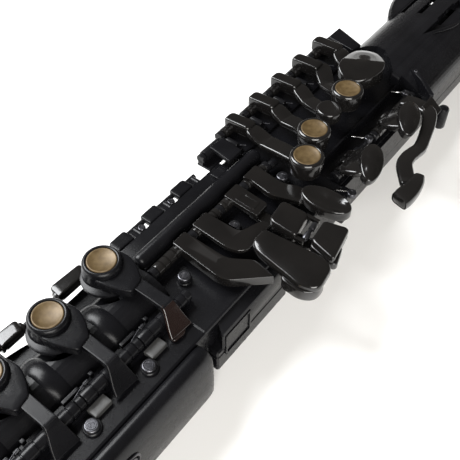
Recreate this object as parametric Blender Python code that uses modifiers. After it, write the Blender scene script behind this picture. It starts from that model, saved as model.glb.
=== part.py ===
"""Electronic saxophone lying on its back with the keys up.

Lengths are in millimetres here and become metres through MM. The drawing frame has X across the
instrument, Y along it towards the neck, Z up, and Z = 0 on the flat deck that carries the keys.
SHIFT moves that frame so that the object stands on Z = 0, centred in X and Y.
"""

import math

import bmesh
import bpy
import numpy as np
from mathutils import Matrix, Vector

MM = 0.001
SHIFT = Vector((-9.111, -39.407, 40.0))

# Case
CASE_LEFT, CASE_RIGHT = -31.0, 27.0
CASE_NARROW = -25.4
CASE_LOW, CASE_HIGH = -226.0, 262.0
WAIST = -52.0
HEAD = 143.0
DECK = 0.0
SPLIT = -18.0
BACK = -40.0
FLOOR = -31.0
WALL = 2.2
BARREL_X, BARREL_Z, BARREL_R = -10.0, -9.5, 15.5
AXIS_X, AXIS_Z = -2.0, -7.0
BELL_Z = -3.0
GAP = 0.3
DOOR = (-17.0, 15.0, -210.0, -102.0)
JACK_Y, JACK_Z = -109.7, -13.0
BUTTONS_X = (-14, -2, 10)
NECK_TURN = math.radians(40)
NECK_BEND = 60.0

# Hinge rods run along Y. Each is X, Z.
ROD_R, BORE_R, HUB_R = 1.4, 1.52, 3.0
RH_ROD = (10.0, 4.6)
LH_ROD = (-41.0, 4.9)
TABLE_ROD = (-9.0, 4.7)
PALM_ROD = (21.0, 1.0)
SIDE_ROD = (-37.0, -1.0)

PEARL_R = 6.9
RH_PEARLS = {"f": (-24.6, -58.3), "e": (-22.2, -91.6), "d": (-21.6, -124.0)}
LH_FIRST = 44.4
LH_PEARLS = {"b": (0.0, 101.7), "a": (3.3, 64.5), "g": (11.1, 46.3)}

SATIN = (0.018, 0.018, 0.020, 0.42, 0.0)
GLOSS = (0.010, 0.009, 0.009, 0.16, 0.0)
PEARL = (0.32, 0.23, 0.12, 0.30, 0.25)
STEEL = (0.09, 0.09, 0.10, 0.35, 1.0)
BRASS = (0.72, 0.50, 0.20, 0.22, 1.0)
CORK = (0.48, 0.30, 0.16, 0.85, 0.0)
EBONITE = (0.008, 0.008, 0.008, 0.22, 0.0)
REED = (0.60, 0.50, 0.33, 0.55, 0.0)
BOARD = (0.02, 0.14, 0.06, 0.50, 0.0)
RUBBER = (0.030, 0.030, 0.032, 0.80, 0.0)

for old in list(bpy.data.objects):
    bpy.data.objects.remove(old)

PARTS = bpy.data.collections.new("electronic_saxophone")
CUTTERS = bpy.data.collections.new("cutters")
for group in (PARTS, CUTTERS):
    bpy.context.scene.collection.children.link(group)


# ---------------------------------------------------------------- helpers

def material(name, look):
    mat = bpy.data.materials.new(name)
    mat.use_nodes = True
    shader = mat.node_tree.nodes["Principled BSDF"]
    shader.inputs["Base Color"].default_value = (*look[:3], 1.0)
    shader.inputs["Roughness"].default_value = look[3]
    shader.inputs["Metallic"].default_value = look[4]
    return mat


def helper(name, mesh):
    """A mesh object that is only a tool for others. Points are in drawing millimetres."""
    obj = bpy.data.objects.new(name, mesh)
    CUTTERS.objects.link(obj)
    obj.hide_render = True
    obj.display_type = "WIRE"
    return obj


def from_bmesh(name, bm):
    bmesh.ops.recalc_face_normals(bm, faces=bm.faces)
    mesh = bpy.data.meshes.new(name)
    bm.to_mesh(mesh)
    bm.free()
    return helper(name, mesh)


def box(x0, x1, y0, y1, z0, z1, bevel=0.0, segments=2):
    bm = bmesh.new()
    size = Matrix.Diagonal((x1 - x0, y1 - y0, z1 - z0, 1))
    place = Matrix.Translation(((x0 + x1) / 2, (y0 + y1) / 2, (z0 + z1) / 2))
    bmesh.ops.create_cube(bm, size=1, matrix=place @ size)
    if bevel:
        bmesh.ops.bevel(bm, geom=bm.edges[:], offset=bevel, segments=segments, affect="EDGES", profile=0.5)
    return from_bmesh("box", bm)


def rod(start, end, radius, sides=16, end_radius=None):
    """A cylinder, or a cone, between two points."""
    start, end = Vector(start), Vector(end)
    along = end - start
    turn = along.to_track_quat("Z", "Y").to_matrix().to_4x4()
    place = Matrix.Translation((start + end) / 2) @ turn
    bm = bmesh.new()
    far = radius if end_radius is None else end_radius
    bmesh.ops.create_cone(bm, cap_ends=True, segments=sides, radius1=radius, radius2=far,
                          depth=along.length, matrix=place)
    return from_bmesh("rod", bm)


def meshed(curve):
    """Turns a curve object into a helper mesh, as a Boolean needs."""
    obj = bpy.data.objects.new("curve", curve)
    CUTTERS.objects.link(obj)
    bpy.context.view_layer.update()
    graph = bpy.context.evaluated_depsgraph_get()
    mesh = bpy.data.meshes.new_from_object(obj.evaluated_get(graph))
    bpy.data.objects.remove(obj)
    bm = bmesh.new()
    bm.from_mesh(mesh)
    bmesh.ops.remove_doubles(bm, verts=bm.verts, dist=0.002)
    return from_bmesh("outline", bm)


def spline_of(curve, points, closed):
    spline = curve.splines.new("POLY")
    spline.points.add(len(points) - 1)
    for slot, point in zip(spline.points, points):
        slot.co = (point[0], point[1], point[2] if len(point) > 2 else 0.0, 1)
    spline.use_cyclic_u = closed


def plate(outline, low, high, bevel=0.0, axis="Z"):
    """A flat outline given thickness. For axis X the outline is (Y, Z), for axis Y it is (X, Z)."""
    curve = bpy.data.curves.new("plate", "CURVE")
    curve.dimensions = "2D"
    curve.fill_mode = "BOTH"
    curve.extrude = (high - low) / 2
    spline_of(curve, outline, True)
    obj = meshed(curve)
    middle = (low + high) / 2
    turns = {"Z": Matrix.Identity(4),
             "X": Matrix(((0, 0, 1, 0), (1, 0, 0, 0), (0, 1, 0, 0), (0, 0, 0, 1))),
             "Y": Matrix(((1, 0, 0, 0), (0, 0, 1, 0), (0, 1, 0, 0), (0, 0, 0, 1)))}
    shift = {"Z": (0, 0, middle), "X": (middle, 0, 0), "Y": (0, middle, 0)}
    bm = bmesh.new()
    bm.from_mesh(obj.data)
    bm.transform(Matrix.Translation(shift[axis]) @ turns[axis])
    bmesh.ops.dissolve_limit(bm, angle_limit=0.01, verts=bm.verts, edges=bm.edges)
    bmesh.ops.recalc_face_normals(bm, faces=bm.faces)
    if bevel:
        sharp = [edge for edge in bm.edges if edge.calc_face_angle(0) > 0.9]
        bmesh.ops.bevel(bm, geom=sharp, offset=bevel, segments=1, affect="EDGES", profile=0.5)
    bm.to_mesh(obj.data)
    bm.free()
    return obj


def ribbon(points, width, thickness):
    """A flat bar swept through points, its width kept level."""
    profile = bpy.data.curves.new("section", "CURVE")
    profile.dimensions = "2D"
    half_w, half_t, cut = width / 2, thickness / 2, 0.5
    corners = [(-half_w + cut, -half_t), (half_w - cut, -half_t), (half_w, -half_t + cut),
               (half_w, half_t - cut), (half_w - cut, half_t), (-half_w + cut, half_t),
               (-half_w, half_t - cut), (-half_w, -half_t + cut)]
    spline_of(profile, corners, True)
    section = bpy.data.objects.new("section", profile)
    CUTTERS.objects.link(section)
    section.hide_render = True
    path = bpy.data.curves.new("path", "CURVE")
    path.dimensions = "3D"
    path.twist_mode = "Z_UP"
    path.bevel_mode = "OBJECT"
    path.bevel_object = section
    path.use_fill_caps = True
    spline_of(path, points, False)
    obj = meshed(path)
    bpy.data.objects.remove(section)
    return obj


def tube(points, radius, sides=3):
    curve = bpy.data.curves.new("tube", "CURVE")
    curve.dimensions = "3D"
    curve.bevel_depth = radius
    curve.bevel_resolution = sides
    curve.use_fill_caps = True
    spline_of(curve, points, False)
    return meshed(curve)


def ellipse(cx, cy, rx, ry, turn=0.0, count=24):
    c, s = math.cos(turn), math.sin(turn)
    spots = []
    for k in range(count):
        a = 2 * math.pi * k / count
        x, y = rx * math.cos(a), ry * math.sin(a)
        spots.append((cx + x * c - y * s, cy + x * s + y * c))
    return spots


def part(name, look, base, adds=(), cuts=(), pivot=(0, 0, 0), sharp=35):
    """Makes a node from a helper, joined with adds and cut by cuts, its origin at pivot."""
    obj = base
    obj.name = name
    CUTTERS.objects.unlink(obj)
    PARTS.objects.link(obj)
    obj.hide_render = False
    obj.display_type = "TEXTURED"
    work = [(tool, "UNION") for tool in adds] + [(tool, "DIFFERENCE") for tool in cuts]
    for tool, operation in work:
        mod = obj.modifiers.new(operation.lower(), "BOOLEAN")
        mod.operation = operation
        mod.solver = "EXACT"
        mod.object = tool
    bpy.context.view_layer.update()
    graph = bpy.context.evaluated_depsgraph_get()
    done = bpy.data.meshes.new_from_object(obj.evaluated_get(graph))
    obj.modifiers.clear()
    bm = bmesh.new()
    bm.from_mesh(done)
    bmesh.ops.remove_doubles(bm, verts=bm.verts, dist=0.003)
    bmesh.ops.dissolve_degenerate(bm, dist=0.003, edges=bm.edges)
    bm.transform(Matrix.Translation(-Vector(pivot)))
    bm.transform(Matrix.Scale(MM, 4))
    mesh = bpy.data.meshes.new(name)
    bm.to_mesh(mesh)
    bm.free()
    mesh.materials.append(material(name, look))
    mesh.polygons.foreach_set("use_smooth", [True] * len(mesh.polygons))
    mesh.set_sharp_from_angle(angle=math.radians(sharp))
    obj.data = mesh
    obj.location = (Vector(pivot) + SHIFT) * MM
    return obj


def lathe(profile, centre, direction, steps=32):
    """Turns (radius, distance along direction) points. A profile that ends on the axis stays open there."""
    mesh = bpy.data.meshes.new("profile")
    points = [(r, 0, z) for r, z in profile]
    edges = [(k, k + 1) for k in range(len(points) - 1)]
    if profile[0][0] > 0 or profile[-1][0] > 0:
        edges.append((len(points) - 1, 0))
    mesh.from_pydata(points, edges, [])
    obj = helper("profile", mesh)
    mod = obj.modifiers.new("screw", "SCREW")
    mod.steps = steps
    mod.render_steps = steps
    mod.use_merge_vertices = True
    mod.merge_threshold = 0.0001
    mod.use_normal_calculate = True
    bpy.context.view_layer.update()
    graph = bpy.context.evaluated_depsgraph_get()
    swept = bpy.data.meshes.new_from_object(obj.evaluated_get(graph))
    bpy.data.objects.remove(obj)
    bm = bmesh.new()
    bm.from_mesh(swept)
    turn = Vector(direction).to_track_quat("Z", "Y").to_matrix().to_4x4()
    bm.transform(Matrix.Translation(centre) @ turn)
    bmesh.ops.remove_doubles(bm, verts=bm.verts, dist=0.003)
    return from_bmesh("turned", bm)


def turned(name, look, profile, centre, direction, steps=32):
    return part(name, look, lathe(profile, centre, direction, steps), pivot=centre)


# ---------------------------------------------------------------- case

def shell_back():
    """The lower shell: deep behind the batteries, shallower under the left hand."""
    deep = box(CASE_NARROW, CASE_RIGHT, CASE_LOW, WAIST + 8, BACK, SPLIT + 9, 6, 3)
    wide = box(CASE_LEFT, CASE_RIGHT, WAIST, CASE_HIGH, FLOOR, SPLIT + 9, 5, 3)
    foot = box(CASE_LEFT + 4, CASE_RIGHT - 4, 236, CASE_HIGH - 2, BACK, SPLIT - 4, 3, 2)
    wing = plate([(22, -50), (32, -50), (32, 4), (22, 10)], -29.4, SPLIT - 0.5, 0.8)
    top = box(CASE_LEFT - 9, CASE_RIGHT + 9, CASE_LOW - 9, CASE_HIGH + 9, SPLIT, SPLIT + 20)
    low_room = box(CASE_NARROW + WALL, CASE_RIGHT - WALL, CASE_LOW + 3, WAIST + 4, BACK + 2.4, SPLIT + 5)
    high_room = box(CASE_LEFT + WALL, CASE_RIGHT - WALL, WAIST + 3, CASE_HIGH - 3, FLOOR + 2.4, SPLIT + 5)
    wells = [box(x - 4.3, x + 4.3, 149.7, 158.3, FLOOR - 2, FLOOR + 6) for x in BUTTONS_X]
    doorway = box(DOOR[0] - 0.3, DOOR[1] + 0.3, DOOR[2] - 0.3, DOOR[3] + 0.3, BACK - 5, BACK + 5)
    part("case_back", SATIN, deep, (wide, foot, wing), [top, low_room, high_room, doorway] + wells)


def shell_front():
    """The upper shell: deck, round barrel under the right hand and the rounded head."""
    top = box(CASE_LEFT, CASE_RIGHT, WAIST, HEAD + 11, SPLIT - 5, DECK, 1.2)
    lower = box(-14, CASE_RIGHT - 0.05, CASE_LOW, WAIST + 4, SPLIT - 5, DECK - 0.4, 1.2)
    barrel = rod((BARREL_X, CASE_LOW + 0.1, BARREL_Z), (BARREL_X, WAIST + 6, BARREL_Z), BARREL_R, 40)
    half = (CASE_RIGHT - CASE_LEFT) / 2 - 0.1
    outline = [(AXIS_X - half, SPLIT - 3), (AXIS_X + half, SPLIT - 3)]
    outline += [(AXIS_X + half * math.cos(a), -9 + 17.6 * math.sin(a)) for a in np.linspace(0, math.pi, 33)]
    head = plate(outline, HEAD, CASE_HIGH - 0.1, 0.8, axis="Y")
    ridge = box(8.6, 10.2, 56, HEAD + 2, -1, 0.9)
    flange = plate([(-24, 195), (-29.2, 203.4), (-32.8, 210.8), (-35.5, 218.8), (-37.3, 227.8), (-37.8, 236),
                    (-36.4, 243), (-32, 248.5), (-24, 250)], -16, 1.6, 1.6)
    wing = plate([(22, -50), (32, -50), (32, 4), (22, 10)], SPLIT - 3, -14.5, 0.8)
    below = box(-60, 60, CASE_LOW - 10, CASE_HIGH + 10, SPLIT - 40, SPLIT + GAP)
    room = box(CASE_LEFT + WALL, CASE_RIGHT - WALL, WAIST - 3, CASE_HIGH - 3, SPLIT - 6, DECK - 6)
    low_room = box(-12, CASE_RIGHT - WALL, CASE_LOW + 3, WAIST - 1, SPLIT - 6, DECK - 6)
    bore = rod((BARREL_X, CASE_LOW + 3, BARREL_Z), (BARREL_X, WAIST - 2, BARREL_Z), BARREL_R - WALL, 40)
    head_room = box(-18, 14, 166, CASE_HIGH - 4.2, SPLIT - 9, 4)
    pocket = plate([(-45, 120), (5.7, 120), (5.7, 142.6), (5.2, 145.4), (-2.8, 154.9), (-8.4, 160.2), (-14.7, 162.6),
                    (-23, 162.4), (-45, 161.4)], DECK + 0.02, 20)
    scoop = plate([(1.6, 187.3), (5.2, 191.6), (8.1, 198), (10.6, 205), (11.9, 210.8), (12.2, 217), (11, 226), (7, 233),
                   (2.2, 236)], 5.0, 20)
    well = box(10.6, CASE_RIGHT + 5, 57, 146, -3.5, DECK + 20)
    seats = [rod((x + 2, y - 1, 3.4), (x + 2, y - 1, 20), 13.2, 28) for x, y in RH_PEARLS.values()]
    slots = [box(x, x + 3.2, 208, 230, 0, 20) for x in (-24, -12.6, 1)]
    hole = rod((AXIS_X, CASE_HIGH - 20, AXIS_Z), (AXIS_X, CASE_HIGH + 5, AXIS_Z), 9.7, 28)
    cuts = [pocket, scoop, below, room, low_room, bore, head_room, well, hole] + seats + slots
    part("case_front", SATIN, top, (lower, barrel, head, ridge, wing, flange), cuts)


def case_trim():
    """The pieces fixed on the case: side cover, long bar, plate, socket and battery door."""
    cover = box(CASE_RIGHT + GAP, 36, CASE_LOW + 2, WAIST - 4, BACK, -1, 4.2, 3)
    socket_hole = rod((20, JACK_Y, JACK_Z), (50, JACK_Y, JACK_Z), 5.6, 24)
    part("side_cover", SATIN, cover, (), (socket_hole,))
    bar = rod((-19, -44, 3.4), (-19, 32, 3.4), 3.9, 20)
    seat = box(-32, 0, -60, 60, -10, DECK + GAP)
    part("long_bar", SATIN, bar, (box(-31, -20, -43, 31, 0.2, 1.9, 0.4),), (seat,))
    part("label_plate", SATIN, box(32 + GAP, 33.1, -46, -31, -27.6, -17.5, 0.3, 1))
    turned("jack_socket", GLOSS, [(2.0, 0), (5.3, 0), (5.3, 8.4), (6.6, 8.7), (6.6, 9.4), (2.0, 9.4)],
           (27.6, JACK_Y, JACK_Z), (1, 0, 0), 24)
    door = box(DOOR[0], DOOR[1], DOOR[2], DOOR[3], BACK, BACK + 2.1, 0.5, 1)
    part("battery_door", SATIN, door)


def bell_and_neck():
    flare = [(15.2, 0), (15.6, 8), (16.8, 24), (19.4, 42), (23.6, 58), (29.5, 71), (35.5, 80), (37.0, 82.5),
             (36.6, 84), (35.0, 83.2), (28.4, 74), (22.2, 60), (17.8, 42), (15.2, 24), (13.8, 8), (13.4, 0)]
    turned("bell", BRASS, flare, (AXIS_X, CASE_LOW - GAP, BELL_Z), (0, -1, 0), 32)
    ring = [(9.3, -12), (9.3, 0.4), (11.6, 0.4), (11.6, 9), (12.6, 9.6), (12.6, 13), (8.5, 13), (8.5, -12)]
    collar = lathe(ring, (AXIS_X, CASE_HIGH, AXIS_Z), (0, 1, 0), 28)
    lug = box(AXIS_X + 11, AXIS_X + 17, CASE_HIGH + 3, CASE_HIGH + 10, AXIS_Z - 3, AXIS_Z + 3, 0.8)
    drill = rod((AXIS_X + 9, CASE_HIGH + 6.5, AXIS_Z), (AXIS_X + 30, CASE_HIGH + 6.5, AXIS_Z), 1.8, 16)
    part("neck_receiver", SATIN, collar, (lug,), (drill,), pivot=(AXIS_X, CASE_HIGH, AXIS_Z))
    grip = [(0, 0), (1.5, 0), (1.5, 6.4), (5.6, 6.8), (5.6, 10.4), (0, 10.4)]
    turned("neck_screw", STEEL, grip, (AXIS_X + 11.5, CASE_HIGH + 6.5, AXIS_Z), (1, 0, 0), 20)


def neck_path():
    """Centre line of the neck: a tenon, then a bend of NECK_TURN, rising from the deck side."""
    points = [(AXIS_X, CASE_HIGH - 9, AXIS_Z), (AXIS_X, CASE_HIGH + 15, AXIS_Z)]
    for k in range(1, 9):
        a = NECK_TURN * k / 8
        points.append((AXIS_X, CASE_HIGH + 15 + NECK_BEND * math.sin(a),
                       AXIS_Z + NECK_BEND * (1 - math.cos(a))))
    return points


def mouth_end():
    """End of the neck bend and the direction there."""
    end = Vector(neck_path()[-1])
    return end, Vector((0, math.cos(NECK_TURN), math.sin(NECK_TURN)))


def neck_pieces():
    end, way = mouth_end()
    path = neck_path()
    pipe = tube(path + [tuple(end + way * 26)], 7.6, 5)
    tenon_stop = rod((AXIS_X, CASE_HIGH + 13.4, AXIS_Z), (AXIS_X, CASE_HIGH + 19, AXIS_Z), 12.4, 28, 8.6)
    bore = tube([(AXIS_X, CASE_HIGH - 14, AXIS_Z)] + path[1:] + [tuple(end + way * 30)], 4.6, 4)
    part("neck", SATIN, pipe, (tenon_stop,), (bore,), pivot=(AXIS_X, CASE_HIGH, AXIS_Z))
    turned("neck_cork", CORK, [(7.8, 0), (8.7, 0.5), (8.7, 21), (7.8, 21.6)], end + way * 4, way, 24)
    mouth = end + way * 13
    body = [(8.9, 0), (12.4, 0), (12.8, 3), (12.2, 20), (11.2, 40), (7.6, 74), (2.4, 76), (2.4, 40), (8.9, 14)]
    blank = lathe(body, mouth, way, 28)
    up = Vector((1, 0, 0)).cross(way)
    table = wedge(mouth, way, up)
    part("mouthpiece", EBONITE, blank, (), table, pivot=mouth)
    return mouth, way, up


def oriented_box(centre, along, up, length, width, height, bevel=0.0):
    """A box with its length along one direction and its height along another."""
    side = up.cross(along)
    bm = bmesh.new()
    turn = Matrix((side, along, up)).transposed().to_4x4()
    size = Matrix.Diagonal((width, length, height, 1))
    bmesh.ops.create_cube(bm, size=1, matrix=Matrix.Translation(centre) @ turn @ size)
    if bevel:
        bmesh.ops.bevel(bm, geom=bm.edges[:], offset=bevel, segments=2, affect="EDGES", profile=0.5)
    return from_bmesh("box", bm)


def wedge(mouth, way, up):
    """Cutters for the beak slope on top and the flat reed table below."""
    slope = math.radians(20)
    beak_way = (way * math.cos(slope) - up * math.sin(slope)).normalized()
    beak_up = (up * math.cos(slope) + way * math.sin(slope)).normalized()
    beak = oriented_box(mouth + way * 60 + up * 3 + beak_up * 12, beak_way, beak_up, 60, 40, 24)
    flat = oriented_box(mouth + way * 60 - up * 20.0, way, up, 96, 40, 24)
    window = oriented_box(mouth + way * 56 - up * 8, way, up, 30, 9, 14)
    return (beak, flat, window)


def mouth_fittings():
    mouth, way, up = neck_pieces()
    base = mouth + way * 45 - up * 9.05
    part("reed", REED, oriented_box(base, way, up, 60, 11.6, 1.5, 0.4), pivot=base)
    start = mouth + way * 17
    band = lathe([(13.0, 0), (14.0, 0), (13.6, 22), (12.6, 22)], start, way, 32)
    ears = oriented_box(start + way * 11 - up * 16.4, way, up, 20, 9, 7, 0.5)
    drill = screw_line(start + way * 6 - up * 18, 20, 1.7)
    room = oriented_box(base, way, up, 66, 12.4, 2.4)
    tunnel = lathe([(0, -5), (13.0, -5), (13.0, 0), (12.6, 22), (12.4, 30), (0, 30)], start, way, 32)
    part("ligature", STEEL, band, (ears,), (drill, room, tunnel), pivot=start)
    axis = start + way * 6 - up * 18
    head = rod(axis + Vector((6, 0, 0)), axis + Vector((11, 0, 0)), 3.6, 16)
    part("ligature_screw", STEEL, rod(axis - Vector((6, 0, 0)), axis + Vector((7, 0, 0)), 1.4, 12), (head,),
         pivot=axis)


def screw_line(centre, length, radius):
    half = Vector((length / 2, 0, 0))
    return rod(centre - half, centre + half, radius, 16)


# ---------------------------------------------------------------- back of the case and inside

def back_pieces():
    profile = [(-12, -0.3), (-12, -2.8), (4, -2.8), (10, -4.4), (14, -8.4), (16.4, -7.6), (12.6, -2.2), (10, -0.3)]
    hook = plate([(x, FLOOR + z) for x, z in profile], -42, -25, 0.4, axis="Y")
    part("thumb_hook", SATIN, hook)
    loop = box(-9, 5, 14.4, 17.6, FLOOR - 8.6, FLOOR - 1, 1.2, 2)
    eye = box(-6.6, 2.6, 10, 22, FLOOR - 7.0, FLOOR - 2.2, 0)
    part("strap_ring", STEEL, loop, (box(-11, 7, 11, 21, FLOOR - 1.5, FLOOR - GAP, 0.3, 1),), (eye,))
    part("thumb_rest", SATIN, rod((-2, 84, FLOOR - GAP), (-2, 84, FLOOR - 4.4), 9, 28, 7.6))
    z = FLOOR - 3.4
    lever = box(-10, 6, 96.5, 118, z - 2.2, z + 0.6, 0.9)
    hub = rod((-12, 119, z), (8, 119, z), 2.4, 16)
    drill = rod((-20, 119, z), (20, 119, z), 1.2, 16)
    part("octave_key", GLOSS, lever, (hub,), (drill,), pivot=(-2, 119, z))
    pin = rod((-15, 119, z), (11, 119, z), 1.0, 12)
    feet = [box(x, x + 2.4, 117, 121, z - 1.6, FLOOR - GAP, 0.3, 1) for x in (-14.8, 8.4)]
    part("octave_hinge", STEEL, pin, feet)


def control_pieces():
    """Buttons on the lower back, a speaker under the slots and the electronics."""
    for name, x in zip(("power_button", "volume_up_button", "volume_down_button"), BUTTONS_X):
        part(name, RUBBER, box(x - 4, x + 4, 150, 158, FLOOR - 2.2, FLOOR + 1.6, 0.7), pivot=(x, 154, FLOOR))
    cone = [(0, -4), (7, -4), (11, -3), (14, 1.2), (15, 1.2), (15, 2.2), (13.4, 2.2), (5, -1.4), (0, -0.8)]
    turned("speaker", STEEL, cone, (-2.1, 213, -2), (0, 0, 1), 24)
    part("circuit_board", BOARD, box(-24, 20, -40, 196, -26, -24.4), pivot=(0, 80, -25))
    tray = box(-16, 14, -208, -104, BACK + 5.4, -24, 0.6, 1)
    troughs = [rod((x, -205, -29), (x, -107, -29), 6.6, 20) for x in (-8.6, 6.6)]
    lid = box(-18, 16, -205, -107, -29, -20)
    part("battery_holder", RUBBER, tray, (), troughs + [lid])


# ---------------------------------------------------------------- hinges

def hinge(name, line, low, high, posts, base, floor, width=5.2, extra=()):
    """A hinge rod in its posts, standing on one base strip."""
    x, z = line
    bar = rod((x, low, z), (x, high, z), ROD_R, 12)
    strip = box(base[0], base[1], low + 0.6, high - 0.6, floor + GAP, floor + 1.3)
    adds = [strip]
    for y in posts:
        adds.append(box(x - width / 2 + 0.4, x + width / 2 - 0.4, y - 1.1, y + 1.1, floor + 0.8, z + 0.2))
        adds.append(rod((x, y - 1.4, z), (x, y + 1.4, z), width / 2, 14))
    part(name, SATIN, bar, adds + list(extra), pivot=(x, (low + high) / 2, z))


def hinges():
    hinge("right_hand_hinge", RH_ROD, -196, -43, (-44.5, -75.2, -107.8, -143.5, -167, -194.5), (7, 13), DECK)
    left_posts = [LH_FIRST + 21.33 * k for k in range(6)]
    hinge("left_hand_hinge", LH_ROD, left_posts[0] - 1.4, left_posts[-1] + 1.4, left_posts, (-44.2, -25), DECK, extra=(
        rod((-38.2, 25.4, 4.9), (-38.2, LH_FIRST, 4.9), ROD_R, 12),
        rod((-38.2, 24.2, 4.9), (-38.2, 26.8, 4.9), 2.6, 14),
        box(-39.8, -36.6, 24.4, 26.6, 0.8, 4.9),
        box(-40.2, -31.6, 24.2, LH_FIRST + 2, DECK + 0.4, 1.5),
        box(-42.6, -26, 157, 166, 5.2, 8.5, 0.9),
        box(-42, -38, LH_FIRST + 104, 165, DECK + 0.4, 6)))
    hinge("table_hinge", TABLE_ROD, -45.5, 42.4, (-44, -16.9, 3.2, 22.2, 40.6), (-13, -6), DECK)
    hinge("palm_hinge", PALM_ROD, 59, 141, (60.5, 82, 98, 119.4, 139.5), (17, 25), -3.5)
    x, z = SIDE_ROD
    bar = rod((x, -114.6, z), (x, 18, z), ROD_R, 12)
    adds = [box(x, CASE_NARROW - GAP, -113.8, -111.4, z - 2.1, z + 2.1), rod((x, -114.2, z), (x, -111, z), 2.6, 14)]
    for y in (-32.8, -11.5, 10):
        adds.append(box(x - 2.4, CASE_LEFT - GAP, y - 6, y + 6, z + 1.0, z + 4.2, 1.1))
        adds.append(box(x - 1.8, CASE_LEFT - GAP, y - 2, y + 2, z - 2.6, z + 2))
    part("side_hinge", SATIN, bar, adds, pivot=(x, -38, z))


# ---------------------------------------------------------------- keys

def hub_of(line, low, high):
    x, z = line
    hub = rod((x, low, z), (x, high, z), HUB_R, 16)
    drill = rod((x, low - 5, z), (x, high + 5, z), BORE_R, 16)
    return hub, drill


def pearl(name, x, y, z, tilt):
    """A dished touch disc let into its cup."""
    low = Vector((x, y, z))
    way = Vector((math.sin(tilt), 0, math.cos(tilt)))
    ring = [(0, 0.25), (PEARL_R - 0.2, 0.25), (PEARL_R - 0.2, 1.7), (PEARL_R - 0.8, 2.25), (0, 1.9)]
    turned(name, PEARL, ring, low, way, 24)


def right_key(letter, x, y):
    """Cup, ring and arm of one right hand key, its arm folded down behind the rod."""
    cup = rod((x + 2, y - 1, 5.2), (x + 2, y - 1, 8.6), 12.4, 28)
    ring = rod((x, y, 8), (x, y, 16.6), 9.3, 24, 8.4)
    fan = plate([(x - 3, y - 9), (x + 8, y - 9.2), (-5, y - 3.4), (-5, y + 7), (x + 4, y + 9.4), (x - 4, y + 8)],
                8.2, 12.9, 0.5)
    bar = plate([(-12, 9.2), (11.4, 9.2), (18.2, 1.0), (19.8, 2.6), (12.2, 12.4), (-12, 12.4)], y - 2.6, y + 6.2,
                0.4, axis="Y")
    hub, drill = hub_of(RH_ROD, y - 4, y + 7)
    neck = box(RH_ROD[0] - 1.5, RH_ROD[0] + 1.5, y - 1.4, y + 5, RH_ROD[1] + 2.0, 10.3)
    recess = rod((x, y, 15.0), (x, y, 20), PEARL_R, 24)
    part(f"{letter}_key", SATIN, cup, (ring, fan, bar, hub, neck), (drill, recess),
         pivot=(RH_ROD[0], y, RH_ROD[1]))
    pearl(f"{letter}_pearl", x, y, 15.0, 0)


def left_key(name, y, route, cup_at, height, flat=False):
    """Lever of one left hand key: hub, straight bar, then a dipping arm to the cup."""
    x, z = LH_ROD
    hub, drill = hub_of(LH_ROD, y - 4.4, y + 4.4)
    bar = box(x - 4.6, -26, y - 4, y + 4, 6.4, 13.1, 1.4)
    cx, cy = cup_at
    arm = ribbon([(-29, y, 11.2)] + route + [(cx, cy, route[-1][2] + 1)], 7.6, 3.0)
    if flat:
        cup = rod((cx, cy, 10.4), (cx, cy, 16.4), 6.4, 24, 6.0)
        part(name, GLOSS, bar, (hub, arm, cup), (drill,), pivot=(x, y, z))
        return
    cup = rod((cx, cy, 4.8), (cx, cy, height), 8.7, 24, 8.5)
    recess = rod((cx, cy, height - 1.6), (cx, cy, 25), PEARL_R, 24)
    part(name, GLOSS, bar, (hub, arm, cup), (drill, recess), pivot=(x, y, z))
    pearl(name.replace("_key", "_pearl"), cx, cy, height - 1.6, 0)


def left_stack():
    left_key("b_key", 117.7, [(-22, 114.6, 10.8), (-12, 106.5, 12.4)], LH_PEARLS["b"], 20.6)
    left_key("bis_key", 96.4, [(-20, 94.0, 11), (-11, 88.4, 12.4)], (-2.4, 86.6), 16, flat=True)
    left_key("a_key", 75.1, [(-20, 73.0, 11), (-12, 68.4, 13)], LH_PEARLS["a"], 20.6)
    left_key("g_key", 53.8, [(-20, 52.2, 11), (-10, 48.6, 13)], LH_PEARLS["g"], 20.6)
    x, z = LH_ROD
    y = 139.0
    hub, drill = hub_of(LH_ROD, y - 4.4, y + 4.4)
    bar = box(x - 4.6, -26, y - 4, y + 4, 6.4, 13.1, 1.4)
    arm = ribbon([(-29, y, 11.2), (-22, 137.4, 11.4), (-10, 130, 13)], 7.6, 3.0)
    touch = plate(ellipse(-6.4, 127.4, 13.4, 7.6, math.radians(56), 28), 11.0, 19.2, 1.8)
    part("front_f_key", GLOSS, bar, (hub, arm, touch), (drill,), pivot=(x, y, z))


def table_key(name, arm, touch, spare, hub_low, hub_high, top=14.0, low=9.0, thick=3.0):
    """A little finger key: arm plate from the rod, a touch on its end."""
    x, z = TABLE_ROD
    hub, drill = hub_of(TABLE_ROD, hub_low, hub_high)
    base = plate(arm, 9.0 - thick, 9.0, 0.5)
    pad = plate(touch, low - 0.6, top, 1.1)
    part(name, GLOSS, pad, [base, hub] + spare, (drill,), pivot=(x, (hub_low + hub_high) / 2, z))


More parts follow.
